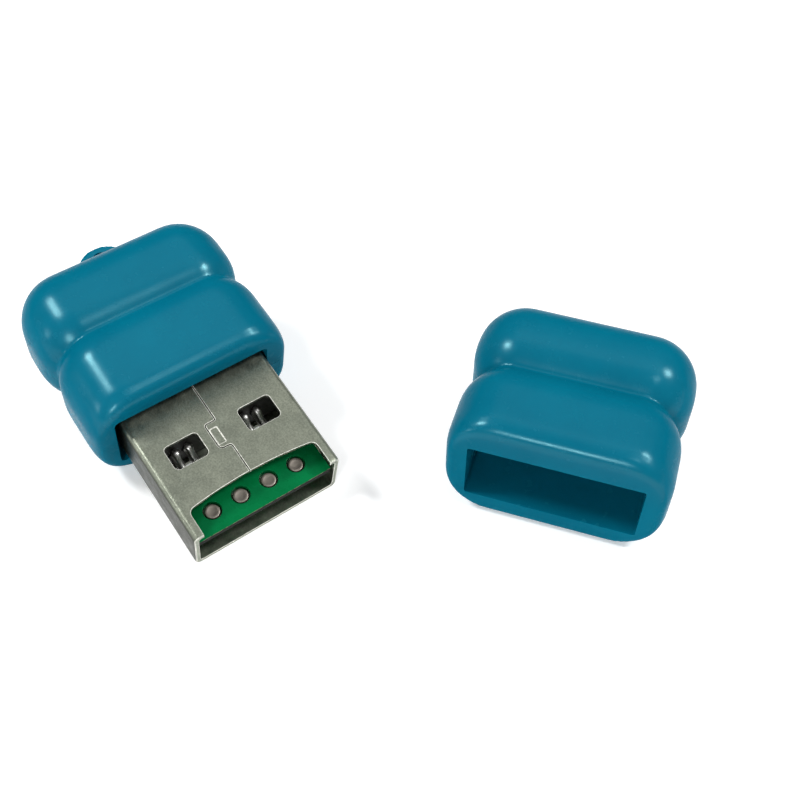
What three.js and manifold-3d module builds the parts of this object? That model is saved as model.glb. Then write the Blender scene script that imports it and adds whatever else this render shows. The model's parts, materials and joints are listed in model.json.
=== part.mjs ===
// A small USB flash drive with its loose cap, laid out side by side on a table.
// Millimetres, +Z up.  The cap stands square to the axes with its mouth facing -Y.
// The drive lies beside it, turned, with its steel plug's tip resting on the table.
//
// Each of the two groups is drawn in a frame of its own: x = 0 is the cap's flat face
// around its mouth, or a plane HOUSING_FACE in front of the housing's flat face, +x points
// out of that face, y runs across the width, and z = 0 is the plane the lobes stand on.

import * as THREE from 'three';
import { mergeVertices } from 'three/addons/utils/BufferGeometryUtils.js';
import Module from 'manifold-3d';

const wasm = await Module();
wasm.setup();

// Puffy two-lobe body, shared by the housing and the cap
const BODY_HEIGHT = 9.9;
const EDGE_ACROSS = 3.6;          // half-axis of the rounded edge in plan
const EDGE_UP = 3.9;              // half-axis of the rounded edge in height
const PLAN_RADIUS = 3.7;          // lobe corner seen from above
const LOBE_CLEAR = 0.1;           // keeps the inset corner radius above zero
const OUTER_STEPS = 6;            // facets on a quarter turn
const INNER_STEPS = 4;
const OVER = 1;                   // how far a cut runs past what it cuts
const REACH = 30;                 // further out than anything on either piece

// Lobe ends along x and width: the front lobe runs past the flat face, which cuts it
const HOUSING_FRONT_LOBE = [1.8, -8.76, 16.3];
const HOUSING_REAR_LOBE = [-5.76, -14.44, 16.6];
const CAP_FRONT_LOBE = [2.04, -7.9, 16.2];
const CAP_REAR_LOBE = [-6.1, -14.08, 16.6];

// Housing shells
const HOUSING_FACE = -0.35;
const WALL = 1.3;
const FRONT_WALL = 1.6;
const PARTING_GAP = 0.1;
const SLOT_SIDE_CLEARANCE = 0.33;
const SLOT_SHIFT = -0.17;         // the slot sits a little to one side of the plug
const SLOT_TOP_CLEARANCE = 1.0;
const SLOT_LOW_CLEARANCE = 0.4;
const LUG_RADIUS = 2.2;
const LUG_CENTRE = -14.1;
const LUG_THICKNESS = 2.4;
const LUG_HOLE_RADIUS = 0.6;
const LUG_HOLE_CENTRE = -15.1;
const LUG_SIDES = 28;
const RIB_THICKNESS = 1.0;
const RIB_AT = -4.2;
const RIB_BITE = 0.05;            // how far the rib runs into the wall
const RIB_CLEARANCE = 0.4;        // between the rib and the plug's shell
const PASSAGE_ENDS = [-9.5, -5.0];  // opens the waist between the two lobes' hollows
const PASSAGE_HALF_WIDTH = 6.35;
const PASSAGE_HALF_HEIGHT = 2.1;

// Steel plug, the standard type A section
const PLUG_WIDTH = 12.0;
const PLUG_HEIGHT = 4.5;
const PLUG_SHEET = 0.3;
const PLUG_CORNER = 0.45;
const PLUG_INNER_CORNER = 0.3;
const PLUG_TIP = 9.81;
const PLUG_REAR = -6.0;
const PLUG_MIDDLE = 4.59;         // height of the plug's middle over the lobes' plane
const LIP_LENGTH = 0.3;           // front lip, drawn in
const LIP_INSET = 0.08;
const WINDOW_LENGTH = 2.05;
const WINDOW_WIDTH = 2.7;
const WINDOW_BACK = 5.2;          // tip to the window's front edge
const WINDOW_SIDE = 3.02;
const WINDOW_CORNER = 0.35;
const SEAM_WIDTH = 0.09;
const TAB_WIDTH = 0.9;
const TAB_FRONT = 5.1;
const TAB_REAR = 7.35;
const CUT_HALF_WIDTH = 5.2;
const CUT_DEPTH_SIDE = 2.14;
const CUT_DEPTH_MIDDLE = 2.55;
const CUT_CORNER = 0.5;
const CUT_STEPS = 8;
const LEG_LENGTH = 2.0;
const LEG_HEIGHT = 1.2;
const LEG_ROOT = 0.5;             // how far a leg's root overlaps the shell's side

// Contact board, black carrier and contacts inside the plug
const TONGUE_TOP = 0.7;           // over the plug's middle
const TONGUE_THICKNESS = 0.6;
const TONGUE_RECESS = 0.25;
const TONGUE_LENGTH = 4.3;
const TONGUE_HALF_WIDTH = 5.5;
const PAD_BACK = 1.9;             // tip to the row of holes
const PAD_HOLE_RADIUS = 0.7;
const STUD_RADIUS = 0.58;
const STUD_TOP = 0.55;
const STUD_ROOT = 0.1;
const JOG_FRONT = 3.6;            // tip to where a contact steps across, and to where it ends
const JOG_REAR = 4.6;
const CARRIER_FRONT = 2.2;
const CARRIER_REAR = -5.7;
const CARRIER_CLEARANCE = 0.12;
const CONTACT_WIDTH = 0.62;
const CONTACT_THICKNESS = 0.25;
const CONTACT_TOP = -0.05;        // under the tongue, from the plug's middle
const CONTACT_REAR = -7.6;
const CHANNEL_CLEARANCE = 0.1;
const CONTACTS = [
  { name: 'contact_vbus', side: 3.5, rearSide: 3.45 },
  { name: 'contact_data_minus', side: 1.17, rearSide: 2.35 },
  { name: 'contact_data_plus', side: -1.17, rearSide: -2.35 },
  { name: 'contact_ground', side: -3.5, rearSide: -3.45 },
];

// Circuit board and what it carries, in the housing
const SOLDER_GAP = 0.1;           // under each contact's rear end, and under each part
const BOARD_TOP = PLUG_MIDDLE + CONTACT_TOP - CONTACT_THICKNESS - SOLDER_GAP;
const BOARD_THICKNESS = 0.8;
const BOARD_BOTTOM = BOARD_TOP - BOARD_THICKNESS;
const BOARD_CORNER = 0.8;
const BOARD_REAR = -12.6;
const BOARD_SHOULDER = -8.4;
const BOARD_FRONT = -6.2;
const BOARD_HALF_WIDTH = 6.3;
const BOARD_NECK_HALF_WIDTH = 5.3;
const CAPACITOR = [1.0, 0.5, 0.5];
const RESISTOR = [1.0, 0.5, 0.35];

// Cap
const CAVITY_WIDTH = 12.61;
const CAVITY_HEIGHT = 5.26;
const CAVITY_DEPTH = 10.9;
const CAVITY_MIDDLE = 4.52;
const CAVITY_CORNER = 0.5;

// How the two lie on the table, relative to the middle of the cap's mouth
const DRIVE_AT = [-27.71, 0.12];
const DRIVE_TURN = -36.4;         // degrees, plug direction from +X
const CAP_TURN = -90;

const STEEL = { color: 0xa9aa9c, roughness: 0.34, metalness: 1.0 };
const TEAL = { color: 0x0a6e86, roughness: 0.22, metalness: 0.0 };
const GREEN = { color: 0x0b6b3a, roughness: 0.35, metalness: 0.0 };
const BLACK = { color: 0x15150f, roughness: 0.55, metalness: 0.0 };
const CONTACT_METAL = { color: 0x8f918a, roughness: 0.3, metalness: 1.0 };
const CERAMIC = { color: 0x9a7b56, roughness: 0.5, metalness: 0.0 };

// Parts on the circuit board: middle in plan, size and the side of the board
const COMPONENTS = [
  { name: 'controller_chip', at: [-10.1, 1.6], size: [4.0, 4.0, 0.8], look: BLACK },
  { name: 'flash_chip', at: [-10.2, 0], size: [4.6, 9.0, 1.0], look: BLACK, underneath: true },
  { name: 'crystal', at: [-11.0, -3.2], size: [2.0, 2.5, 0.7], look: CONTACT_METAL },
  { name: 'capacitor_input', at: [-8.9, 4.9], size: CAPACITOR, look: CERAMIC },
  { name: 'capacitor_core', at: [-10.2, 4.9], size: CAPACITOR, look: CERAMIC },
  { name: 'capacitor_crystal_left', at: [-9.2, -2.2], size: CAPACITOR, look: CERAMIC },
  { name: 'capacitor_crystal_right', at: [-9.2, -4.2], size: CAPACITOR, look: CERAMIC },
  { name: 'resistor_data_minus', at: [-9.0, -1.2], size: RESISTOR, look: BLACK },
  { name: 'resistor_data_plus', at: [-10.4, -1.2], size: RESISTOR, look: BLACK },
  { name: 'ferrite_bead', at: [-11.5, 4.9], size: CAPACITOR, look: BLACK },
];

// ---- small helpers -------------------------------------------------------------

function solid(geometry) {
  const bare = geometry.clone();
  bare.deleteAttribute('normal');
  bare.deleteAttribute('uv');
  const merged = mergeVertices(bare, 1e-5);
  return new wasm.Manifold(new wasm.Mesh({
    numProp: 3,
    vertProperties: Float32Array.from(merged.attributes.position.array),
    triVerts: Uint32Array.from(merged.index.array),
  }));
}

function named(name, body, look) {
  const { vertProperties, triVerts } = body.getMesh();
  const geometry = new THREE.BufferGeometry();
  geometry.setAttribute('position', new THREE.BufferAttribute(Float32Array.from(vertProperties), 3));
  geometry.setIndex(new THREE.BufferAttribute(Uint32Array.from(triVerts), 1));
  geometry.computeVertexNormals();
  const mesh = new THREE.Mesh(geometry, new THREE.MeshStandardMaterial(look));
  mesh.name = name;
  return mesh;
}

function block([x0, x1], [y0, y1], [z0, z1]) {
  const geometry = new THREE.BoxGeometry(x1 - x0, y1 - y0, z1 - z0);
  geometry.translate((x0 + x1) / 2, (y0 + y1) / 2, (z0 + z1) / 2);
  return solid(geometry);
}

function post(radius, [x, y], [z0, z1], sides = 20) {
  const geometry = new THREE.CylinderGeometry(radius, radius, z1 - z0, sides);
  geometry.rotateX(Math.PI / 2);
  geometry.translate(x, y, (z0 + z1) / 2);
  return solid(geometry);
}

function roundedRectangle(left, right, bottom, top, radius) {
  const shape = new THREE.Shape();
  shape.absarc(right - radius, bottom + radius, radius, -Math.PI / 2, 0);
  shape.absarc(right - radius, top - radius, radius, 0, Math.PI / 2);
  shape.absarc(left + radius, top - radius, radius, Math.PI / 2, Math.PI);
  shape.absarc(left + radius, bottom + radius, radius, Math.PI, 1.5 * Math.PI);
  shape.closePath();
  return shape;
}

function prism(shape, [z0, z1], curveSegments = 3) {
  const geometry = new THREE.ExtrudeGeometry(shape, { depth: z1 - z0, bevelEnabled: false, curveSegments });
  geometry.translate(0, 0, z0);
  return solid(geometry);
}

// A section drawn across the plug (y, z) and extruded along x
function bar(halfWidth, halfHeight, radius, middle, [x0, x1], curveSegments = 3) {
  const section = roundedRectangle(-halfWidth, halfWidth, -halfHeight, halfHeight, radius);
  const geometry = new THREE.ExtrudeGeometry(section, {
    depth: x1 - x0, bevelEnabled: false, curveSegments,
  });
  geometry.rotateX(Math.PI / 2);
  geometry.rotateZ(Math.PI / 2);
  geometry.translate(x0, 0, middle);
  return solid(geometry);
}

// ---- the two-lobe body ---------------------------------------------------------

function lobe([front, rear, width], inset, steps) {
  const across = EDGE_ACROSS - inset;
  const up = EDGE_UP - inset;
  const halfWidth = width / 2 - inset;
  const radius = Math.max(PLAN_RADIUS - inset, across + LOBE_CLEAR);
  const plan = roundedRectangle(rear + inset, front - inset, -halfWidth, halfWidth, radius);
  const depth = BODY_HEIGHT - 2 * EDGE_UP;
  const geometry = new THREE.ExtrudeGeometry(plan, {
    depth, curveSegments: steps, bevelEnabled: true, bevelSegments: steps,
    bevelThickness: up, bevelSize: across, bevelOffset: -across,
  });
  geometry.translate(0, 0, EDGE_UP);
  return solid(geometry);
}

function behind(x) {
  return block([x - REACH, x], [-REACH, REACH], [-REACH, REACH]);
}

function between(z) {
  return block([-REACH, REACH], [-REACH, REACH], z);
}

function lobes(frontLobe, rearLobe, face, inset = 0, steps = OUTER_STEPS) {
  return lobe(frontLobe, inset, steps)
    .intersect(behind(face))
    .add(lobe(rearLobe, inset, steps));
}

// ---- housing -------------------------------------------------------------------

function lug() {
  const z = [PLUG_MIDDLE - LUG_THICKNESS / 2, PLUG_MIDDLE + LUG_THICKNESS / 2];
  const hole = post(LUG_HOLE_RADIUS, [LUG_HOLE_CENTRE, 0], [z[0] - OVER, z[1] + OVER], LUG_SIDES / 2);
  return post(LUG_RADIUS, [LUG_CENTRE, 0], z, LUG_SIDES).subtract(hole);
}

function hollow(wall) {
  return lobes(HOUSING_FRONT_LOBE, HOUSING_REAR_LOBE, HOUSING_FACE - FRONT_WALL, wall, INNER_STEPS);
}

// The plug's way out through the front wall, with more room over the plug than under it
function slot() {
  const lift = (SLOT_TOP_CLEARANCE - SLOT_LOW_CLEARANCE) / 2;
  return bar(
    PLUG_WIDTH / 2 + SLOT_SIDE_CLEARANCE, PLUG_HEIGHT / 2 + SLOT_LOW_CLEARANCE + lift, PLUG_CORNER,
    PLUG_MIDDLE + lift, [HOUSING_FACE - FRONT_WALL - OVER, HOUSING_FACE + OVER],
  ).translate([0, SLOT_SHIFT, 0]);
}

// Cradle rib across the hollow that carries the plug's shell
function rib() {
  const x = [RIB_AT - RIB_THICKNESS / 2, RIB_AT + RIB_THICKNESS / 2];
  const seat = bar(
    PLUG_WIDTH / 2 + RIB_CLEARANCE, PLUG_HEIGHT / 2 + RIB_CLEARANCE, PLUG_CORNER,
    PLUG_MIDDLE, [x[0] - OVER, x[1] + OVER],
  );
  return block(x, [-REACH, REACH], [-REACH, REACH])
    .intersect(hollow(WALL - RIB_BITE))
    .subtract(seat);
}

function housing() {
  const passage = bar(PASSAGE_HALF_WIDTH, PASSAGE_HALF_HEIGHT, PLUG_CORNER, PLUG_MIDDLE, PASSAGE_ENDS);
  return lobes(HOUSING_FRONT_LOBE, HOUSING_REAR_LOBE, HOUSING_FACE)
    .add(lug())
    .subtract(hollow(WALL))
    .subtract(passage)
    .add(rib())
    .subtract(slot());
}

// ---- plug shell ----------------------------------------------------------------

function windowCut(side, z) {
  const front = PLUG_TIP - WINDOW_BACK;
  const shape = roundedRectangle(
    front - WINDOW_LENGTH, front,
    side - WINDOW_WIDTH / 2, side + WINDOW_WIDTH / 2, WINDOW_CORNER,
  );
  return prism(shape, z);
}

// Shallow arched cut in the seam side's front edge
function frontCut(z) {
  const side = PLUG_TIP - CUT_DEPTH_SIDE;
  const arch = PLUG_TIP - 2 * CUT_DEPTH_MIDDLE + CUT_DEPTH_SIDE;
  const shape = new THREE.Shape();
  shape.moveTo(PLUG_TIP + OVER, -CUT_HALF_WIDTH);
  shape.lineTo(PLUG_TIP + OVER, CUT_HALF_WIDTH);
  shape.lineTo(side + CUT_CORNER, CUT_HALF_WIDTH);
  shape.quadraticCurveTo(side, CUT_HALF_WIDTH, side, CUT_HALF_WIDTH - CUT_CORNER);
  shape.quadraticCurveTo(arch, 0, side, CUT_CORNER - CUT_HALF_WIDTH);
  shape.quadraticCurveTo(side, -CUT_HALF_WIDTH, side + CUT_CORNER, -CUT_HALF_WIDTH);
  shape.closePath();
  return prism(shape, z, CUT_STEPS);
}

// The butt joint of the rolled sheet, with its interlocking tab
function seamCut(z) {
  const front = PLUG_TIP - CUT_DEPTH_MIDDLE;
  const tabFront = PLUG_TIP - TAB_FRONT;
  const tabRear = PLUG_TIP - TAB_REAR;
  const w = SEAM_WIDTH / 2;
  return block([PLUG_REAR - OVER, tabRear + w], [-w, w], z)
    .add(block([tabRear - w, tabRear + w], [-TAB_WIDTH - w, w], z))
    .add(block([tabRear - w, tabFront + w], [-TAB_WIDTH - w, -TAB_WIDTH + w], z))
    .add(block([tabFront - w, tabFront + w], [-TAB_WIDTH - w, w], z))
    .add(block([tabFront - w, front + OVER], [-w, w], z));
}

// The plug's outer form drawn in by a thickness all round, with its front lip
function plugForm(inset, length) {
  const halfWidth = PLUG_WIDTH / 2 - inset;
  const halfHeight = PLUG_HEIGHT / 2 - inset;
  const section = roundedRectangle(-halfWidth, halfWidth, -halfHeight, halfHeight, PLUG_CORNER - inset / 2);
  const geometry = new THREE.ExtrudeGeometry(section, {
    depth: length, curveSegments: 3, bevelEnabled: true, bevelSegments: 1,
    bevelThickness: LIP_LENGTH, bevelSize: LIP_INSET, bevelOffset: -LIP_INSET,
  });
  geometry.rotateX(Math.PI / 2);
  geometry.rotateZ(Math.PI / 2);
  geometry.translate(PLUG_TIP - LIP_LENGTH - length, 0, PLUG_MIDDLE);
  return solid(geometry);
}

// Soldering leg on one side of the shell's rear end
function leg(side) {
  const outer = side * PLUG_WIDTH / 2;
  const inner = outer - side * PLUG_SHEET;
  const y = [Math.min(inner, outer), Math.max(inner, outer)];
  const z = [PLUG_MIDDLE - LEG_HEIGHT / 2, PLUG_MIDDLE + LEG_HEIGHT / 2];
  return block([PLUG_REAR - LEG_LENGTH, PLUG_REAR + LEG_ROOT], y, z);
}

function plugShell() {
  const halfHeight = PLUG_HEIGHT / 2;
  const length = PLUG_TIP - PLUG_REAR;
  const rim = PLUG_SHEET + LIP_INSET;
  const mouth = bar(
    PLUG_WIDTH / 2 - rim, halfHeight - rim, PLUG_INNER_CORNER,
    PLUG_MIDDLE, [PLUG_TIP - 2 * OVER, PLUG_TIP + OVER],
  );
  const top = [PLUG_MIDDLE + OVER, PLUG_MIDDLE + halfHeight + OVER];
  const bottom = [PLUG_MIDDLE - halfHeight - OVER, PLUG_MIDDLE - OVER];
  let shell = plugForm(0, length)
    .subtract(behind(PLUG_REAR))
    .subtract(plugForm(PLUG_SHEET, length + OVER))
    .subtract(mouth)
    .subtract(frontCut(top))
    .subtract(seamCut(top));
  for (const side of [-WINDOW_SIDE, WINDOW_SIDE]) {
    shell = shell.subtract(windowCut(side, top)).subtract(windowCut(side, bottom));
  }
  return shell.add(leg(-1)).add(leg(1));
}

// ---- inside the plug -----------------------------------------------------------

function tongueBoard() {
  const front = PLUG_TIP - TONGUE_RECESS;
  const top = PLUG_MIDDLE + TONGUE_TOP;
  const z = [top - TONGUE_THICKNESS, top];
  let board = block([front - TONGUE_LENGTH, front], [-TONGUE_HALF_WIDTH, TONGUE_HALF_WIDTH], z);
  for (const { side } of CONTACTS) {
    const hole = post(PAD_HOLE_RADIUS, [PLUG_TIP - PAD_BACK, side], [z[0] - OVER, z[1] + OVER]);
    board = board.subtract(hole);
  }
  return board;
}

// One flat strip: a straight front run under the tongue, a step across, a straight rear run
function contactPlan({ side, rearSide }) {
  const w = CONTACT_WIDTH / 2;
  const jogFront = PLUG_TIP - JOG_FRONT;
  const jogRear = PLUG_TIP - JOG_REAR;
  const front = PLUG_TIP - PAD_BACK + STUD_RADIUS;
  const shape = new THREE.Shape();
  shape.moveTo(CONTACT_REAR, rearSide - w);
  shape.lineTo(jogRear, rearSide - w);
  shape.lineTo(jogFront, side - w);
  shape.lineTo(front, side - w);
  shape.lineTo(front, side + w);
  shape.lineTo(jogFront, side + w);
  shape.lineTo(jogRear, rearSide + w);
  shape.lineTo(CONTACT_REAR, rearSide + w);
  shape.closePath();
  return shape;
}

function contact(spec) {
  const top = PLUG_MIDDLE + CONTACT_TOP;
  const stud = post(
    STUD_RADIUS, [PLUG_TIP - PAD_BACK, spec.side], [top - STUD_ROOT, PLUG_MIDDLE + STUD_TOP],
  );
  return prism(contactPlan(spec), [top - CONTACT_THICKNESS, top]).add(stud);
}

function carrier() {
  const gap = PLUG_SHEET + CARRIER_CLEARANCE;
  const x = [CARRIER_REAR, CARRIER_FRONT];
  const top = PLUG_MIDDLE + CONTACT_TOP;
  const z = [top - CONTACT_THICKNESS - CHANNEL_CLEARANCE, top + CHANNEL_CLEARANCE];
  const w = CONTACT_WIDTH / 2 + CHANNEL_CLEARANCE;
  let body = bar(PLUG_WIDTH / 2 - gap, PLUG_HEIGHT / 2 - gap, PLUG_INNER_CORNER, PLUG_MIDDLE, x);
  for (const { rearSide } of CONTACTS) {
    const channel = block([x[0] - OVER, x[1] + OVER], [rearSide - w, rearSide + w], z);
    body = body.subtract(channel);
  }
  return body;
}

// ---- circuit board and components ----------------------------------------------

function circuitBoard() {
  const z = [BOARD_BOTTOM, BOARD_TOP];
  const rear = roundedRectangle(
    BOARD_REAR, BOARD_SHOULDER, -BOARD_HALF_WIDTH, BOARD_HALF_WIDTH, BOARD_CORNER,
  );
  const neck = [-BOARD_NECK_HALF_WIDTH, BOARD_NECK_HALF_WIDTH];
  return prism(rear, z).add(block([BOARD_SHOULDER - OVER, BOARD_FRONT], neck, z));
}

function component({ at: [x, y], size: [length, width, height], underneath }) {
  const low = underneath ? BOARD_BOTTOM - SOLDER_GAP - height : BOARD_TOP + SOLDER_GAP;
  return block([x - length / 2, x + length / 2], [y - width / 2, y + width / 2], [low, low + height]);
}

// ---- cap -----------------------------------------------------------------------

function cap() {
  const cavity = bar(
    CAVITY_WIDTH / 2, CAVITY_HEIGHT / 2, CAVITY_CORNER, CAVITY_MIDDLE, [-CAVITY_DEPTH, OVER],
  );
  return lobes(CAP_FRONT_LOBE, CAP_REAR_LOBE, 0).subtract(cavity);
}

// ---- how far the drive tips forward ----------------------------------------------

// The front-heavy drive stands on its front lobe's rounded edge and on the plug's lower
// edge, where the lip starts.  The line through that edge, tangent to the lobe's elliptic
// edge, gives the slope.
function tipAngle() {
  const reach = PLUG_TIP - LIP_LENGTH - (HOUSING_FRONT_LOBE[0] - EDGE_ACROSS);
  const drop = EDGE_UP - (PLUG_MIDDLE - PLUG_HEIGHT / 2);
  const square = reach ** 2 - EDGE_ACROSS ** 2;
  const root = Math.sqrt((reach * drop) ** 2 + square * (EDGE_UP ** 2 - drop ** 2));
  return Math.atan((root - reach * drop) / square);
}

// ---- assembly --------------------------------------------------------------------

const shell = housing();
const parting = BODY_HEIGHT / 2;

const drive = new THREE.Group();
drive.add(
  named('housing_upper_shell', shell.intersect(between([parting + PARTING_GAP / 2, REACH])), TEAL),
  named('housing_lower_shell', shell.intersect(between([-REACH, parting - PARTING_GAP / 2])), TEAL),
  named('plug_shell', plugShell(), STEEL),
  named('tongue_board', tongueBoard(), GREEN),
  named('terminal_carrier', carrier(), BLACK),
  ...CONTACTS.map((spec) => named(spec.name, contact(spec), CONTACT_METAL)),
  named('circuit_board', circuitBoard(), GREEN),
  ...COMPONENTS.map((spec) => named(spec.name, component(spec), spec.look)),
);

const tipped = new THREE.Group();
tipped.add(drive);
drive.rotation.y = tipAngle();
tipped.rotation.z = THREE.MathUtils.degToRad(DRIVE_TURN);
tipped.position.set(DRIVE_AT[0], DRIVE_AT[1], 0);

const capGroup = new THREE.Group();
capGroup.add(named('cap_shell', cap(), TEAL));
capGroup.rotation.z = THREE.MathUtils.degToRad(CAP_TURN);

// Stand both on z = 0, then put the origin under the middle of the whole set
const group = new THREE.Group();
group.add(tipped, capGroup);
for (const piece of [tipped, capGroup]) {
  piece.updateMatrixWorld(true);
  piece.position.z -= new THREE.Box3().setFromObject(piece, true).min.z;
}
group.updateMatrixWorld(true);
const box = new THREE.Box3().setFromObject(group, true);
group.position.set(-(box.min.x + box.max.x) / 2, -(box.min.y + box.max.y) / 2, 0);
group.updateMatrixWorld(true);

export default group;
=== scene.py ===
import json
import math
import bmesh
import bpy
from mathutils import Matrix, Vector


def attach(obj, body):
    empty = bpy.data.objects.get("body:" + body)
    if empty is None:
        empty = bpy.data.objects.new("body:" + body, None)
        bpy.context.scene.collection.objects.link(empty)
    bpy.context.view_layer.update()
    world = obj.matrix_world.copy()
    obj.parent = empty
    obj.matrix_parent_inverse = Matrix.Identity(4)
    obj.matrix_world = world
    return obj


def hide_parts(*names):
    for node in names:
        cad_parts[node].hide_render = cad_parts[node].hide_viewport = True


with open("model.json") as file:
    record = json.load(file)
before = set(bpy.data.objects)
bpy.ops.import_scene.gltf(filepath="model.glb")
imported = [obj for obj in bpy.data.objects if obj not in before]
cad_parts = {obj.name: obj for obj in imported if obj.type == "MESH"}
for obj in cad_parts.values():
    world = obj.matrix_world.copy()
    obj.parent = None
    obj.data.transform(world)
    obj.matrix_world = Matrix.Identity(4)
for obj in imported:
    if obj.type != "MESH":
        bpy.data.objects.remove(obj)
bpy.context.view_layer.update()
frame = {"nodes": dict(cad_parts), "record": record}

MM = 0.001
MOUNTS = {mount["name"]: mount for mount in frame["record"]["mounts"]}


# ---- camera, floor and lights ------------------------------------------------------

CAMERA_TARGET = Vector((2.956, 6.782, 0.0)) * MM
CAMERA_DISTANCE = 88.5 * MM
CAMERA_ELEVATION = math.radians(50.8)
CAMERA_AZIMUTH = math.radians(17.75)
CAMERA_LENS = 49.4
CAMERA_SENSOR = 36
CAMERA_RANGE = (0.002, 10)        # nearest and furthest distance that it sees

WORLD_STRENGTH = 0.18
FLOOR_REACH = 0.6
FLOOR_WHITE = 0.93
FLOOR_GLOW = 0.28


def add_camera():
    flat = CAMERA_DISTANCE * math.cos(CAMERA_ELEVATION)
    offset = Vector((
        flat * math.sin(CAMERA_AZIMUTH),
        -flat * math.cos(CAMERA_AZIMUTH),
        CAMERA_DISTANCE * math.sin(CAMERA_ELEVATION),
    ))
    data = bpy.data.cameras.new("camera")
    data.lens = CAMERA_LENS
    data.sensor_width = CAMERA_SENSOR
    data.clip_start, data.clip_end = CAMERA_RANGE
    camera = bpy.data.objects.new("camera", data)
    bpy.context.collection.objects.link(camera)
    camera.location = CAMERA_TARGET + offset
    camera.rotation_euler = (-offset).to_track_quat("-Z", "Y").to_euler()
    bpy.context.scene.camera = camera


def add_light(name, azimuth, elevation, distance, size, power):
    """A square-on lamp aimed at the origin; azimuth 0 is in front of the object."""
    data = bpy.data.lights.new(name, "AREA")
    data.shape = "RECTANGLE"
    data.size, data.size_y = size
    data.energy = power
    light = bpy.data.objects.new(name, data)
    bpy.context.collection.objects.link(light)
    az, el = math.radians(azimuth), math.radians(elevation)
    direction = Vector((math.cos(el) * math.sin(az), -math.cos(el) * math.cos(az), math.sin(el)))
    light.location = direction * distance
    light.rotation_euler = (-direction).to_track_quat("-Z", "Y").to_euler()


def add_world():
    bpy.context.scene.view_settings.view_transform = "Standard"
    world = bpy.data.worlds.new("studio")
    world.use_nodes = True
    background = world.node_tree.nodes["Background"]
    background.inputs["Color"].default_value = (1, 1, 1, 1)
    background.inputs["Strength"].default_value = WORLD_STRENGTH
    bpy.context.scene.world = world


def add_floor():
    mesh = bpy.data.meshes.new("floor")
    corners = [(-FLOOR_REACH, -FLOOR_REACH), (FLOOR_REACH, -FLOOR_REACH),
               (FLOOR_REACH, FLOOR_REACH), (-FLOOR_REACH, FLOOR_REACH)]
    mesh.from_pydata([(x, y, 0) for x, y in corners], [], [(0, 1, 2, 3)])
    floor = bpy.data.objects.new("floor", mesh)
    bpy.context.collection.objects.link(floor)
    material = bpy.data.materials.new("floor_paper")
    material.use_nodes = True
    shader = material.node_tree.nodes["Principled BSDF"]
    shader.inputs["Base Color"].default_value = (FLOOR_WHITE, FLOOR_WHITE, FLOOR_WHITE, 1)
    shader.inputs["Roughness"].default_value = 0.8
    shader.inputs["Emission Color"].default_value = (1, 1, 1, 1)
    shader.inputs["Emission Strength"].default_value = FLOOR_GLOW
    mesh.materials.append(material)


def add_lights():
    add_light("left", azimuth=-82, elevation=52, distance=0.32, size=(0.065, 0.065), power=0.57)
    add_light("right", azimuth=115, elevation=46, distance=0.32, size=(0.065, 0.065), power=0.57)
    add_light("low_left", azimuth=-55, elevation=16, distance=0.32, size=(0.06, 0.06), power=0.1)
    add_light("high_right", azimuth=71, elevation=66, distance=0.32, size=(0.07, 0.07), power=0.08)
    add_light("front", azimuth=0, elevation=35, distance=0.35, size=(0.25, 0.25), power=0.04)
    add_light("glint", azimuth=2, elevation=33, distance=0.33, size=(0.05, 0.08), power=0.34)
    add_light("behind", azimuth=180, elevation=66, distance=0.45, size=(0.4, 0.3), power=0.24)


add_camera()
add_world()
add_floor()
add_lights()


# ---- materials -------------------------------------------------------------------------

GLOSS_FALL = (0.12, 0.42)        # where the gloss starts and stops falling: 0 is square on, 1 edge on


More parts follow.
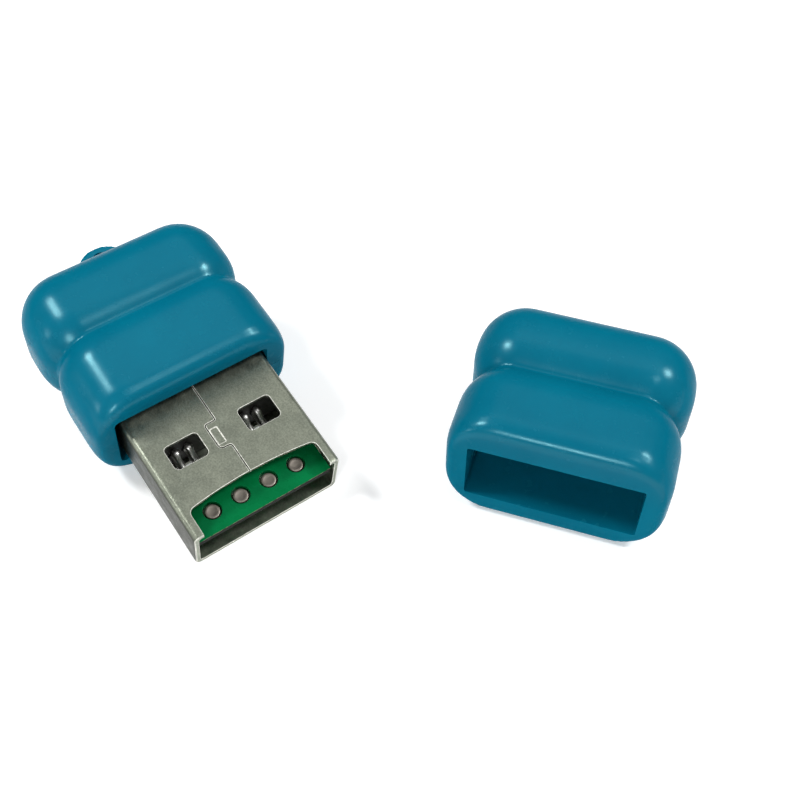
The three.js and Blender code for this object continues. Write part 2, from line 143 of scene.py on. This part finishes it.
class Material:
    """A node material with short ways to add the usual procedural layers."""

    def __init__(self, name, color, roughness, metallic=0.0):
        self.material = bpy.data.materials.new(name)
        self.material.use_nodes = True
        self.tree = self.material.node_tree
        self.shader = self.tree.nodes["Principled BSDF"]
        self.shader.inputs["Base Color"].default_value = (*color, 1)
        self.shader.inputs["Roughness"].default_value = roughness
        self.shader.inputs["Metallic"].default_value = metallic
        self.coordinates = self.tree.nodes.new("ShaderNodeTexCoord").outputs["Object"]
        self.normal = None

    def node(self, kind, **values):
        node = self.tree.nodes.new(kind)
        for key, value in values.items():
            if key in node.inputs:
                node.inputs[key].default_value = value
            else:
                setattr(node, key, value)
        return node

    def link(self, source, target):
        self.tree.links.new(source, target)

    def stretched(self, scale):
        mapping = self.node("ShaderNodeMapping")
        mapping.inputs["Scale"].default_value = scale
        self.link(self.coordinates, mapping.inputs["Vector"])
        return mapping.outputs["Vector"]

    def noise(self, scale, detail=3.0, roughness=0.5, stretch=(1, 1, 1)):
        node = self.node("ShaderNodeTexNoise", Scale=scale, Detail=detail, Roughness=roughness)
        self.link(self.stretched(stretch), node.inputs["Vector"])
        return node.outputs["Fac"]

    def ramp(self, fac, low, high, color_low, color_high):
        node = self.node("ShaderNodeValToRGB")
        node.color_ramp.elements[0].position = low
        node.color_ramp.elements[1].position = high
        node.color_ramp.elements[0].color = (*color_low, 1)
        node.color_ramp.elements[1].color = (*color_high, 1)
        self.link(fac, node.inputs["Fac"])
        return node.outputs["Color"]

    def spread(self, fac, low, high):
        node = self.node("ShaderNodeMapRange")
        node.inputs["From Min"].default_value = 0.3
        node.inputs["From Max"].default_value = 0.7
        node.inputs["To Min"].default_value = low
        node.inputs["To Max"].default_value = high
        self.link(fac, node.inputs["Value"])
        return node.outputs["Result"]

    def beyond(self, axis, near, far):
        """0 closer to the object's middle plane than near, 1 further than far (in metres)."""
        parts = self.node("ShaderNodeSeparateXYZ")
        self.link(self.coordinates, parts.inputs["Vector"])
        distance = self.node("ShaderNodeMath", operation="ABSOLUTE")
        self.link(parts.outputs[axis], distance.inputs[0])
        node = self.node("ShaderNodeMapRange")
        node.inputs["From Min"].default_value = near
        node.inputs["From Max"].default_value = far
        self.link(distance.outputs[0], node.inputs["Value"])
        return node.outputs["Result"]

    def facing(self, square_on, edge_on, socket):
        """Runs a shader input from one value seen square on to another seen edge on."""
        weight = self.node("ShaderNodeLayerWeight", Blend=0.5)
        node = self.node("ShaderNodeMapRange")
        node.inputs["From Min"].default_value, node.inputs["From Max"].default_value = GLOSS_FALL
        node.inputs["To Min"].default_value = square_on
        node.inputs["To Max"].default_value = edge_on
        self.link(weight.outputs["Facing"], node.inputs["Value"])
        self.link(node.outputs["Result"], self.shader.inputs[socket])

    def mix(self, kind, fac, a, b):
        node = self.node("ShaderNodeMix", data_type="RGBA", blend_type=kind)
        for source, socket in ((fac, node.inputs[0]), (a, node.inputs[6]), (b, node.inputs[7])):
            if isinstance(source, (int, float, tuple)):
                socket.default_value = source
            else:
                self.link(source, socket)
        return node.outputs[2]

    def color_from(self, output):
        self.link(output, self.shader.inputs["Base Color"])

    def roughness_from(self, fac, low, high):
        self.link(self.spread(fac, low, high), self.shader.inputs["Roughness"])

    def bump(self, height, strength, distance):
        node = self.node("ShaderNodeBump", Strength=strength, Distance=distance)
        self.link(height, node.inputs["Height"])
        if self.normal is not None:
            self.link(self.normal, node.inputs["Normal"])
        self.normal = node.outputs["Normal"]
        self.link(self.normal, self.shader.inputs["Normal"])


def teal_plastic():
    m = Material("teal_plastic", (0.001, 0.13, 0.20), 0.22)
    m.shader.inputs["Subsurface Weight"].default_value = 0.1
    m.shader.inputs["Subsurface Radius"].default_value = (0.1, 0.8, 1.0)
    m.shader.inputs["Subsurface Scale"].default_value = 0.001
    m.shader.inputs["IOR"].default_value = 1.36
    m.shader.inputs["Specular Tint"].default_value = (0.45, 0.95, 1.0, 1)
    m.facing(0.6, 0.02, "Specular IOR Level")
    clouds = m.noise(160, detail=4)
    m.color_from(m.ramp(clouds, 0.3, 0.7, (0.0005, 0.115, 0.185), (0.0008, 0.135, 0.21)))
    m.roughness_from(m.noise(900, detail=4), 0.21, 0.29)
    m.bump(m.noise(420, detail=2), 0.12, 0.00006)
    m.bump(m.noise(4200, detail=3), 0.06, 0.00001)
    return m.material


def plated_steel():
    m = Material("plated_steel", (0.30, 0.315, 0.26), 0.4, metallic=1.0)
    base = m.ramp(m.noise(500, detail=5), 0.3, 0.7, (0.28, 0.305, 0.245), (0.345, 0.37, 0.295))
    grain = m.ramp(m.noise(8000, detail=4, roughness=0.7), 0.35, 0.65, (0.66, 0.66, 0.66), (1, 1, 1))
    color = m.mix("MULTIPLY", 1.0, base, grain)
    # Painted shade: the plug's outer side walls, beyond 5.85 mm from its middle plane, are painted a
    # near-black steel colour.
    m.color_from(m.mix("MIX", m.beyond("Y", 0.00585, 0.00598), color, (0.038, 0.042, 0.03, 1)))
    m.roughness_from(m.noise(1400, detail=4), 0.34, 0.46)
    m.bump(m.noise(9000, detail=4), 0.55, 0.00003)
    m.bump(m.noise(2600, detail=2, stretch=(0.06, 1, 1)), 0.12, 0.00001)
    return m.material


def painted_edge_highlight():
    """Painted highlight: a brighter metal colour along the sheet's punched and bent edges, standing in for
    the light these edges catch.
    """
    m = Material("painted_edge_highlight", (0.9, 0.9, 0.82), 0.6, metallic=0.5)
    m.color_from(m.ramp(m.noise(5000, detail=3), 0.35, 0.65, (0.62, 0.62, 0.56), (1.0, 1.0, 0.92)))
    m.roughness_from(m.noise(3000), 0.5, 0.7)
    m.bump(m.noise(9000), 0.2, 0.00001)
    return m.material


def solder_mask():
    """The green lacquer on both boards."""
    m = Material("solder_mask", (0.0, 0.13, 0.04), 0.3)
    m.shader.inputs["Specular Tint"].default_value = (0.1, 0.9, 0.5, 1)
    m.shader.inputs["IOR"].default_value = 1.36
    m.color_from(m.ramp(m.noise(600, detail=3), 0.35, 0.65, (0.0005, 0.11, 0.03), (0.0008, 0.14, 0.038)))
    m.roughness_from(m.noise(1500), 0.22, 0.36)
    m.bump(m.noise(2500, detail=3), 0.1, 0.00001)
    return m.material


BOARD_TOP_RIM = 0.00523          # height at which the contact board's tan top rim starts
BOARD_RIM_BLUR = 0.00004


def board_edge():
    """The board's front face: painted shade below, with a thin line of bare glass fibre along the top."""
    m = Material("board_edge", (0.02, 0.03, 0.02), 0.6)
    fibres = m.ramp(m.noise(2500, stretch=(1, 1, 0.3)), 0.42, 0.5, (0.05, 0.06, 0.03), (0.30, 0.27, 0.17))
    m.shader.inputs["Specular IOR Level"].default_value = 0.1
    top_rim = m.beyond("Z", BOARD_TOP_RIM, BOARD_TOP_RIM + BOARD_RIM_BLUR)
    # Painted shade: below the top rim the front face is painted near-black.
    m.color_from(m.mix("MIX", top_rim, (0.004, 0.006, 0.004, 1), fibres))
    m.bump(m.noise(6000), 0.3, 0.00001)
    return m.material


def black_plastic(name="carrier_plastic", color=(0.012, 0.012, 0.01), rough=(0.42, 0.6)):
    m = Material(name, color, 0.5)
    lighter = tuple(1.6 * c for c in color)
    m.color_from(m.ramp(m.noise(900), 0.35, 0.65, color, lighter))
    m.roughness_from(m.noise(1800), *rough)
    m.bump(m.noise(3500), 0.2, 0.00001)
    return m.material


def contact_metal(name="contact_metal", color=(0.52, 0.52, 0.50), rough=(0.28, 0.4)):
    m = Material(name, color, 0.34, metallic=1.0)
    m.color_from(m.ramp(m.noise(900), 0.35, 0.65, tuple(0.8 * c for c in color), color))
    m.roughness_from(m.noise(2500), *rough)
    m.bump(m.noise(7000), 0.2, 0.00001)
    return m.material


def ceramic():
    m = Material("ceramic_body", (0.34, 0.22, 0.12), 0.5)
    m.color_from(m.ramp(m.noise(1500), 0.35, 0.65, (0.29, 0.18, 0.10), (0.38, 0.25, 0.14)))
    m.bump(m.noise(5000), 0.2, 0.00001)
    return m.material


TEAL = teal_plastic()
STEEL = plated_steel()
PAINTED_EDGE_HIGHLIGHT = painted_edge_highlight()
MASK = solder_mask()
EDGE = board_edge()
BLACK = black_plastic()
CHIP = black_plastic("chip_plastic", (0.02, 0.02, 0.022), (0.5, 0.7))
CONTACT = contact_metal()
# The studs get a darker, browner copy of the contact metal.
STUD = contact_metal("darker_stud_metal", (0.34, 0.305, 0.265), (0.4, 0.55))
CERAMIC = ceramic()


# ---- the drive's own frame and the cap's own frame ------------------------------------

PLUG_TIP = 9.81
PLUG_MIDDLE = 4.59
PLUG_MOUNT_HEIGHT = PLUG_MIDDLE - 1.9
CAP_MOUNT_HEIGHT = 8.3


def own_frame(mount, x, z):
    """The frame whose +x is the mount's axis and in which the mount lies at (x, 0, z) mm."""
    forward = Vector(mount["axis"]).normalized()
    left = Vector((0, 0, 1)).cross(forward).normalized()
    up = forward.cross(left)
    origin = Vector(mount["pos_m"]) - forward * x * MM - up * z * MM
    matrix = Matrix((forward, left, up)).transposed().to_4x4()
    matrix.translation = origin
    return matrix


DRIVE = own_frame(MOUNTS["plug_front"], PLUG_TIP, PLUG_MOUNT_HEIGHT)
CAP = own_frame(MOUNTS["cap_mouth"], 0.0, CAP_MOUNT_HEIGHT)


# ---- mesh helpers (millimetres in a piece's own frame) ---------------------------------

def mesh_object(name, vertices, faces):
    mesh = bpy.data.meshes.new(name)
    mesh.from_pydata([tuple(c * MM for c in v) for v in vertices], [], faces)
    mesh.validate()
    obj = bpy.data.objects.new(name, mesh)
    bpy.context.collection.objects.link(obj)
    return obj


def arc(center, radius, start, stop, steps):
    for k in range(steps + 1):
        angle = math.radians(start + (stop - start) * k / steps)
        yield (center[0] + radius * math.cos(angle), center[1] + radius * math.sin(angle))


def rounded_outline(low, high, radius, steps):
    """A rectangle between two corners, with its own corners rounded."""
    (a0, b0), (a1, b1) = low, high
    r = radius
    corners = (
        ((a1 - r, b0 + r), -90), ((a1 - r, b1 - r), 0),
        ((a0 + r, b1 - r), 90), ((a0 + r, b0 + r), 180),
    )
    return [point for center, start in corners for point in arc(center, r, start, start + 90, steps)]


def loft(name, rings):
    """A closed solid through rings of equal length, capped at both ends."""
    count = len(rings[0])
    vertices = [point for ring in rings for point in ring]
    faces = [tuple(reversed(range(count)))]
    for j in range(len(rings) - 1):
        for i in range(count):
            k = (i + 1) % count
            faces.append((j * count + i, j * count + k, (j + 1) * count + k, (j + 1) * count + i))
    faces.append(tuple(range((len(rings) - 1) * count, len(rings) * count)))
    return mesh_object(name, vertices, faces)


def prism(name, outline, z0, z1):
    """An upright solid over an outline in plan."""
    return loft(name, [[(x, y, z) for x, y in outline] for z in (z0, z1)])


def bar(name, sections, middle=0.0):
    """A solid along x through rounded rectangles: (x, half width, low z, high z, radius)."""
    rings = []
    for x, half, low, high, radius in sections:
        outline = rounded_outline((middle - half, low), (middle + half, high), radius, 8)
        rings.append([(x, y, z) for y, z in outline])
    return loft(name, rings)


def box(name, x, y, z):
    outline = [(x[0], y[0]), (x[1], y[0]), (x[1], y[1]), (x[0], y[1])]
    return prism(name, outline, *z)


def settle(obj):
    """Replaces an object's mesh by its shape after its modifiers."""
    graph = bpy.context.evaluated_depsgraph_get()
    mesh = bpy.data.meshes.new_from_object(obj.evaluated_get(graph))
    obj.modifiers.clear()
    old = obj.data
    obj.data = mesh
    bpy.data.meshes.remove(old)
    return obj


def boolean(obj, operation, *tools):
    """Joins or cuts an object with each tool in turn, and then removes the tools."""
    for tool in tools:
        modifier = obj.modifiers.new("boolean", "BOOLEAN")
        modifier.object = tool
        modifier.operation = operation
        modifier.solver = "EXACT"
        settle(obj)
    for tool in tools:
        bpy.data.objects.remove(tool)
    return obj


def keep_above(obj, z, above=True):
    """Cuts an object along a level plane and closes the cut face."""
    mesh = bmesh.new()
    mesh.from_mesh(obj.data)
    everything = mesh.verts[:] + mesh.edges[:] + mesh.faces[:]
    up = 1 if above else -1
    cut = bmesh.ops.bisect_plane(
        mesh, geom=everything, plane_co=(0, 0, z * MM), plane_no=(0, 0, -up), clear_outer=True,
    )
    rim = [part for part in cut["geom_cut"] if isinstance(part, bmesh.types.BMEdge)]
    bmesh.ops.triangle_fill(mesh, edges=rim, use_beauty=True, normal=(0, 0, -up))
    mesh.to_mesh(obj.data)
    mesh.free()
    return obj


def soften(obj, voxel, rounds):
    """Remeshes evenly and rounds every edge a little, as moulded plastic has it."""
    remesh = obj.modifiers.new("remesh", "REMESH")
    remesh.mode = "VOXEL"
    remesh.voxel_size = voxel * MM
    smooth = obj.modifiers.new("smooth", "SMOOTH")
    smooth.factor = 0.5
    smooth.iterations = rounds
    return settle(obj)


def tube(name, stations, sides=14):
    """A closed strand through (x, z, half width, half thickness), all in the plane of y = 0."""
    rings = []
    for k, (x, z, across, thick) in enumerate(stations):
        x0, z0 = stations[max(k - 1, 0)][:2]
        x1, z1 = stations[min(k + 1, len(stations) - 1)][:2]
        run = math.hypot(x1 - x0, z1 - z0)
        ahead = ((x1 - x0) / run, (z1 - z0) / run)
        ring = []
        for i in range(sides):
            angle = 2 * math.pi * i / sides
            y, t = across * math.cos(angle), thick * math.sin(angle)
            ring.append((x - t * ahead[1], y, z + t * ahead[0]))
        rings.append(ring)
    return loft(name, rings)


def turned(name, center, profile, sides=32):
    """A solid of revolution about an upright axis through (radius, z), from low to high."""
    rings = []
    for radius, z in profile:
        outline = arc(center, radius, 0, 360 - 360 / sides, sides - 1)
        rings.append([(x, y, z) for x, y in outline])
    return loft(name, rings)


def filleted(points, radii, steps=6):
    """An open path with its inner corners rounded off."""
    path = [points[0]]
    for k, reach in enumerate(radii, start=1):
        before, corner, after = (Vector(points[k + step]) for step in (-1, 0, 1))
        start = corner + (before - corner).normalized() * reach
        stop = corner + (after - corner).normalized() * reach
        for i in range(steps + 1):
            t = i / steps
            path.append(tuple((1 - t) ** 2 * start + 2 * t * (1 - t) * corner + t ** 2 * stop))
    return path + [points[-1]]


def ribbon(name, path, width, z0, z1):
    """An upright wall of even width along an open path in plan."""
    left, right = [], []
    for k, point in enumerate(path):
        ahead = Vector(path[min(k + 1, len(path) - 1)]) - Vector(path[max(k - 1, 0)])
        ahead.normalize()
        across = Vector((-ahead.y, ahead.x)) * width / 2
        left.append(tuple(Vector(point) + across))
        right.append(tuple(Vector(point) - across))
    outline = right + left[::-1]
    area = sum(a[0] * b[1] - b[0] * a[1] for a, b in zip(outline, outline[1:] + outline[:1]))
    return prism(name, outline if area > 0 else outline[::-1], z0, z1)


def shade(obj, material, edge_angle=40):
    """Gives an object its material, smooth but for edges sharper than the angle."""
    obj.data.materials.clear()
    obj.data.materials.append(material)
    for polygon in obj.data.polygons:
        polygon.use_smooth = True
    obj.data.set_sharp_from_angle(angle=math.radians(edge_angle))


def bevel(obj, width, material=-1):
    """Breaks an object's sharp edges; a material index above -1 sets the broken edges apart."""
    modifier = obj.modifiers.new("bevel", "BEVEL")
    modifier.material = material
    modifier.use_clamp_overlap = False
    modifier.width = width * MM
    modifier.segments = 2
    modifier.limit_method = "ANGLE"
    modifier.angle_limit = math.radians(30)
    modifier.harden_normals = True


def finish_piece(obj, matrix, body, slot, *nodes):
    """Puts a piece in its place, hangs it on its body's empty and hides the CAD nodes that it stands for.
    """
    obj.matrix_world = matrix
    bpy.context.view_layer.update()
    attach(obj, body)
    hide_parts(*nodes)


# ---- the puffy two-lobe shells ----------------------------------------------------------

BODY_HEIGHT = 9.9
EDGE_ACROSS = 3.6
EDGE_UP = 3.9
PLAN_RADIUS = 3.7
WALL = 1.3
FRONT_WALL = 1.6
HOUSING_FACE = -0.35
HOUSING_LOBES = ((1.8, -8.76, 16.3), (-5.76, -14.44, 16.6))
CAP_LOBES = ((2.04, -7.9, 16.2), (-6.1, -14.08, 16.6))
SLOT_HALF_WIDTH = 6.33
SLOT_SHIFT = -0.17
SLOT_LOW = 1.94
SLOT_HIGH = 7.84
PARTING_GAP = 0.02
LUG_MIDDLE = (-14.1, 0)
LUG_RADIUS = 2.2
LUG_HALF_HEIGHT = 1.2
LUG_HOLE = (-15.1, 0)
LUG_HOLE_RADIUS = 0.6
PASSAGE = (-9.5, -5.0)            # the way from the rear lobe's hollow to the front lobe's
PASSAGE_HALF_WIDTH = 6.35
PASSAGE_HALF_HEIGHT = 2.1
CAVITY_HALF_WIDTH = 6.305
CAVITY_HALF_HEIGHT = 2.63
CAVITY_MIDDLE = 4.52
CAVITY_DEPTH = 10.9
RIM_RADIUS = 1.1
SHELL_VOXEL = 0.16
SHELL_ROUNDS = 9
OVER = 1                          # how far a cutter sticks out of what it cuts
BEYOND = 20                       # further out than any shell


def lobe(spec, inset=0.0, steps=16):
    """A pillow: a rounded rectangle in plan, with its edge rounded above and below."""
    front, rear, width = spec
    across, up = EDGE_ACROSS - inset, EDGE_UP - inset
    rings = []
    for side in (-1, 1):
        for k in range(steps + 1):
            angle = math.radians(90 * k / steps)
            angle = angle if side > 0 else math.radians(90) - angle
            cut = inset + across * (1 - math.cos(angle))
            middle = BODY_HEIGHT - EDGE_UP if side > 0 else EDGE_UP
            z = middle + side * up * math.sin(angle)
            half = width / 2 - cut
            outline = rounded_outline((rear + cut, -half), (front - cut, half), PLAN_RADIUS - cut, 10)
            rings.append([(x, y, z) for x, y in outline])
    return loft("lobe", rings)


def rim_block(face, half):
    """A block whose front rim is rounded, most of all along the top."""
    rear, step = -2 * BEYOND, face - RIM_RADIUS - 0.01
    sections = [(x, BEYOND, -BEYOND / 2, BEYOND, EDGE_ACROSS) for x in (rear, step)]
    for k in range(7):
        angle = math.radians(90 * k / 6)
        inset = RIM_RADIUS * (1 - math.cos(angle))
        x = face - RIM_RADIUS * (1 - math.sin(angle))
        low, high = 0.05 + inset / 4, BODY_HEIGHT - 0.1 - inset
        sections.append((x, half - inset / 2, low, high, EDGE_ACROSS - inset))
    return bar("rim_block", sections)


def lobes(pair, face, inset=0.0):
    """Both lobes as one solid that ends in a flat face; an inset one is a hollow and has no rounded rim."""
    if inset:
        block = box("cut", (-2 * BEYOND, face), (-BEYOND, BEYOND), (-BEYOND, BEYOND))
    else:
        block = rim_block(face, pair[0][2] / 2 - 0.05)
    front = boolean(lobe(pair[0], inset), "INTERSECT", block)
    return boolean(front, "UNION", lobe(pair[1], inset))


def housing():
    body = lobes(HOUSING_LOBES, HOUSING_FACE)
    ends = (PLUG_MIDDLE - LUG_HALF_HEIGHT, PLUG_MIDDLE + LUG_HALF_HEIGHT)
    boolean(body, "UNION", turned("lug", LUG_MIDDLE, [(LUG_RADIUS, z) for z in ends], 48))
    soften(body, SHELL_VOXEL, SHELL_ROUNDS)
    hollow = lobes(HOUSING_LOBES, HOUSING_FACE - FRONT_WALL, WALL)
    low, high = PLUG_MIDDLE - PASSAGE_HALF_HEIGHT, PLUG_MIDDLE + PASSAGE_HALF_HEIGHT
    passage = bar("passage", [(x, PASSAGE_HALF_WIDTH, low, high, 0.65) for x in PASSAGE])
    slot = bar("slot", [(x, SLOT_HALF_WIDTH, SLOT_LOW, SLOT_HIGH, 0.45) for x in (-3, OVER)], SLOT_SHIFT)
    hole = turned("hole", LUG_HOLE, [(LUG_HOLE_RADIUS, z) for z in (0, 10)], 24)
    boolean(body, "DIFFERENCE", hollow, passage, slot, hole)
    return body


def make_housing():
    parting = BODY_HEIGHT / 2
    upper = housing()
    lower = upper.copy()
    lower.data = upper.data.copy()
    bpy.context.collection.objects.link(lower)
    upper.name = "housing_upper"
    lower.name = "housing_lower"
    keep_above(upper, parting + PARTING_GAP / 2)
    keep_above(lower, parting - PARTING_GAP / 2, above=False)
    for piece, node in ((upper, "housing_upper_shell"), (lower, "housing_lower_shell")):
        shade(piece, TEAL)
        finish_piece(piece, DRIVE, "drive", "teal_plastic", node)


def make_cap():
    cap = soften(lobes(CAP_LOBES, 0.0), SHELL_VOXEL, SHELL_ROUNDS)
    low, high = CAVITY_MIDDLE - CAVITY_HALF_HEIGHT, CAVITY_MIDDLE + CAVITY_HALF_HEIGHT
    cavity = bar("cavity", [(x, CAVITY_HALF_WIDTH, low, high, 0.2) for x in (-CAVITY_DEPTH, OVER)])
    boolean(cap, "DIFFERENCE", cavity)
    cap.name = "cap"
    shade(cap, TEAL)
    finish_piece(cap, CAP, "cap", "teal_plastic", "cap_shell")


make_housing()
make_cap()


# ---- the steel plug --------------------------------------------------------------------

PLUG_HALF_WIDTH = 6.0
PLUG_HALF_HEIGHT = 2.25
PLUG_SHEET = 0.3
PLUG_CORNER = 0.45
PLUG_REAR = -6.0
LIP_LENGTH = 0.3
LIP_INSET = 0.08
WINDOW = (2.05, 2.7)              # length and width
WINDOW_CORNER = 0.35
WINDOW_BACK = 5.2
WINDOW_SIDE = 3.02
SEAM_GAP = 0.08
TAB_SIDE = -0.9
TAB_BACK = (5.1, 7.35)
COIN_BACK = (5.45, 6.85)
COIN_SIDES = (-0.78, -0.2)
COIN_DEPTH = 0.06
CUT_HALF_WIDTH = 5.2
CUT_DEPTH = (2.14, 2.55)          # at the sides and in the middle
CUT_CORNER = 0.5
LEG_LENGTH = 2
LEG_HALF_HEIGHT = 0.6
PLUG_EDGE_BREAK = 0.035


def plug_section(x, inset, corner):
    """The plug's outline at x, drawn in by an inset."""
    low, high = PLUG_MIDDLE - PLUG_HALF_HEIGHT + inset, PLUG_MIDDLE + PLUG_HALF_HEIGHT - inset
    return (x, PLUG_HALF_WIDTH - inset, low, high, corner)


def plug_body():
    lip = PLUG_TIP - LIP_LENGTH
    sections = [plug_section(PLUG_REAR, 0, PLUG_CORNER)]
    for k in range(5):
        angle = math.radians(90 * k / 4)
        inset = LIP_INSET * (1 - math.cos(angle))
        sections.append(plug_section(lip + LIP_LENGTH * math.sin(angle), inset, PLUG_CORNER - inset / 2))
    body = bar("plug", sections)
    inner = PLUG_CORNER - PLUG_SHEET / 2
    hollow = bar("hollow", [
        plug_section(PLUG_REAR - 1, PLUG_SHEET, inner),
        plug_section(lip - 0.2, PLUG_SHEET, inner),
        plug_section(lip + 0.2, PLUG_SHEET + LIP_INSET, inner),
        plug_section(PLUG_TIP + 1, PLUG_SHEET + LIP_INSET, inner),
    ])
    return boolean(body, "DIFFERENCE", hollow)


def front_cut(z0, z1):
    """The opening over the studs: a bow behind, and rounded corners at its ends."""
    side, middle = PLUG_TIP - CUT_DEPTH[0], PLUG_TIP - CUT_DEPTH[1]
    half, corner = CUT_HALF_WIDTH, CUT_CORNER
    arch = [(side + (middle - side) * (1 - (y / half) ** 2), y)
            for y in (half * (i / 12) for i in range(-10, 11))]
    outline = [(PLUG_TIP + OVER, -half), (PLUG_TIP + OVER, half)]
    outline += filleted([(side + 2 * corner, half), (side, half), arch[-1]], [corner])[1:-1]
    outline += arch[::-1]
    outline += filleted([arch[0], (side, -half), (side + 2 * corner, -half)], [corner])[1:-1]
    return prism("front_cut", outline, z0, z1)


def seam(z0, z1):
    """The gap where the rolled sheet's ends meet, with a step round the interlocking tab."""
    front, rear = (PLUG_TIP - back for back in TAB_BACK)
    path = filleted(
        [(PLUG_TIP - 2, 0), (front, 0), (front, TAB_SIDE), (rear, TAB_SIDE), (rear, 0), (PLUG_REAR - 1, 0)],
        [0.25, 0.4, 0.2, 0.12],
    )
    return ribbon("seam", path, SEAM_GAP, z0, z1)


def window(side, z0, z1):
    front = PLUG_TIP - WINDOW_BACK
    length, width = WINDOW
    low, high = (front - length, side - width / 2), (front, side + width / 2)
    return prism("window", rounded_outline(low, high, WINDOW_CORNER, 6), z0, z1)


def make_plug():
    plug = plug_body()
    top = (PLUG_MIDDLE + 1, PLUG_MIDDLE + 4)
    bottom = (PLUG_MIDDLE - 4, PLUG_MIDDLE - 1)
    for side in (-WINDOW_SIDE, WINDOW_SIDE):
        boolean(plug, "DIFFERENCE", window(side, *top), window(side, *bottom))
    face = PLUG_MIDDLE + PLUG_HALF_HEIGHT
    coin = rounded_outline(
        (PLUG_TIP - COIN_BACK[1], COIN_SIDES[0]), (PLUG_TIP - COIN_BACK[0], COIN_SIDES[1]), 0.08, 3,
    )
    pocket = prism("coin", coin, face - COIN_DEPTH, face + OVER)
    boolean(plug, "DIFFERENCE", front_cut(*top), seam(*top), pocket)
    for side in (-1, 1):
        outer = side * PLUG_HALF_WIDTH
        y = sorted((outer, outer - side * PLUG_SHEET))
        z = (PLUG_MIDDLE - LEG_HALF_HEIGHT, PLUG_MIDDLE + LEG_HALF_HEIGHT)
        boolean(plug, "UNION", box("leg", (PLUG_REAR - LEG_LENGTH, PLUG_REAR + 0.5), y, z))
    shade(plug, STEEL, 30)
    # The bevelled edges get the painted edge highlight.
    plug.data.materials.append(PAINTED_EDGE_HIGHLIGHT)
    bevel(plug, PLUG_EDGE_BREAK, material=1)
    finish_piece(plug, DRIVE, "drive", "plated_steel", "plug_shell")


make_plug()


# ---- the tongue board and the contacts ----------------------------------------------------

TONGUE_RECESS = 0.25
TONGUE_LENGTH = 4.3
TONGUE_HALF_WIDTH = 5.5
TONGUE_HEIGHTS = (PLUG_MIDDLE + 0.1, PLUG_MIDDLE + 0.7)
TONGUE_EDGE_BREAK = 0.03
HOLE_RADIUS = 0.7
STUD_BACK = 1.9
STUD_TOP = PLUG_MIDDLE + 0.55
CONTACT_HALF_WIDTH = 0.31
CONTACT_HEIGHTS = (PLUG_MIDDLE - 0.3, PLUG_MIDDLE - 0.05)
CONTACT_REAR = -7.6

# each contact's distance from the middle, at its stud and at its rear end
CONTACT_SIDES = {
    "vbus": (3.5, 3.45), "data_minus": (1.17, 2.35), "data_plus": (-1.17, -2.35), "ground": (-3.5, -3.45),
}

# the hook that shows in a window, from front to rear: x, height, half width, half thickness
HOOK = (
    (4.6, -0.12, 0.20, 0.09), (3.9, 0.0, 0.20, 0.10), (3.4, 0.22, 0.20, 0.11), (3.05, 0.48, 0.21, 0.12),
    (2.85, 0.64, 0.26, 0.16), (2.65, 0.72, 0.30, 0.2), (2.45, 0.68, 0.28, 0.18), (2.3, 0.5, 0.22, 0.12),
    (2.27, 0.2, 0.20, 0.10), (2.27, -0.15, 0.20, 0.10),
)


def make_tongue():
    front = PLUG_TIP - TONGUE_RECESS
    sides = (-TONGUE_HALF_WIDTH, TONGUE_HALF_WIDTH)
    board = box("tongue", (front - TONGUE_LENGTH, front), sides, TONGUE_HEIGHTS)
    for side, _ in CONTACT_SIDES.values():
        hole = turned("hole", (PLUG_TIP - STUD_BACK, side), [(HOLE_RADIUS, z) for z in (0, 10)])
        boolean(board, "DIFFERENCE", hole)
    shade(board, MASK)
    board.data.materials.append(EDGE)
    for polygon in board.data.polygons:
        if polygon.center.x > (front - 0.01) * MM:
            polygon.material_index = 1
    bevel(board, TONGUE_EDGE_BREAK)
    finish_piece(board, DRIVE, "drive", "solder_mask", "tongue_board")


def make_contact(name, side, rear_side):
    """A flat strip with a round stud in front and a rounded hook that shows in a window."""
    middle = PLUG_TIP - STUD_BACK
    plan = [
        (CONTACT_REAR, rear_side), (PLUG_TIP - 4.6, rear_side),
        (PLUG_TIP - 3.6, side), (middle + 0.5, side),
    ]
    strip = ribbon(name, filleted(plan, [0.4, 0.4]), 2 * CONTACT_HALF_WIDTH, *CONTACT_HEIGHTS)
    stud = turned("stud", (middle, side), [
        (0.58, CONTACT_HEIGHTS[0] + 0.1), (0.58, STUD_TOP - 0.08), (0.555, STUD_TOP - 0.025),
        (0.50, STUD_TOP), (0.36, STUD_TOP - 0.03), (0.15, STUD_TOP - 0.05),
    ])
    hook = tube("hook", [(x, PLUG_MIDDLE + rise, across, thick) for x, rise, across, thick in HOOK])
    for vertex in hook.data.vertices:
        vertex.co.y += rear_side * MM
    boolean(strip, "UNION", stud, hook)
    shade(strip, CONTACT, 45)
    strip.data.materials.append(STUD)
    for polygon in strip.data.polygons:
        if polygon.center.x > (middle - 0.6) * MM:
            polygon.material_index = 1
    finish_piece(strip, DRIVE, "drive", "contact_metal", name.replace("pin", "contact"))


make_tongue()
for key, sides in CONTACT_SIDES.items():
    make_contact("pin_" + key, *sides)


# ---- carried-over CAD nodes ---------------------------------------------------------------

NODE_MATERIALS = {
    "terminal_carrier": BLACK,
    "circuit_board": MASK,
    "controller_chip": CHIP,
    "flash_chip": CHIP,
    "crystal": CONTACT,
}


def dress_nodes():
    for name, node in frame["nodes"].items():
        material = CERAMIC if name.startswith("capacitor") else NODE_MATERIALS.get(name, CHIP)
        node.data.materials.clear()
        node.data.materials.append(material)


dress_nodes()
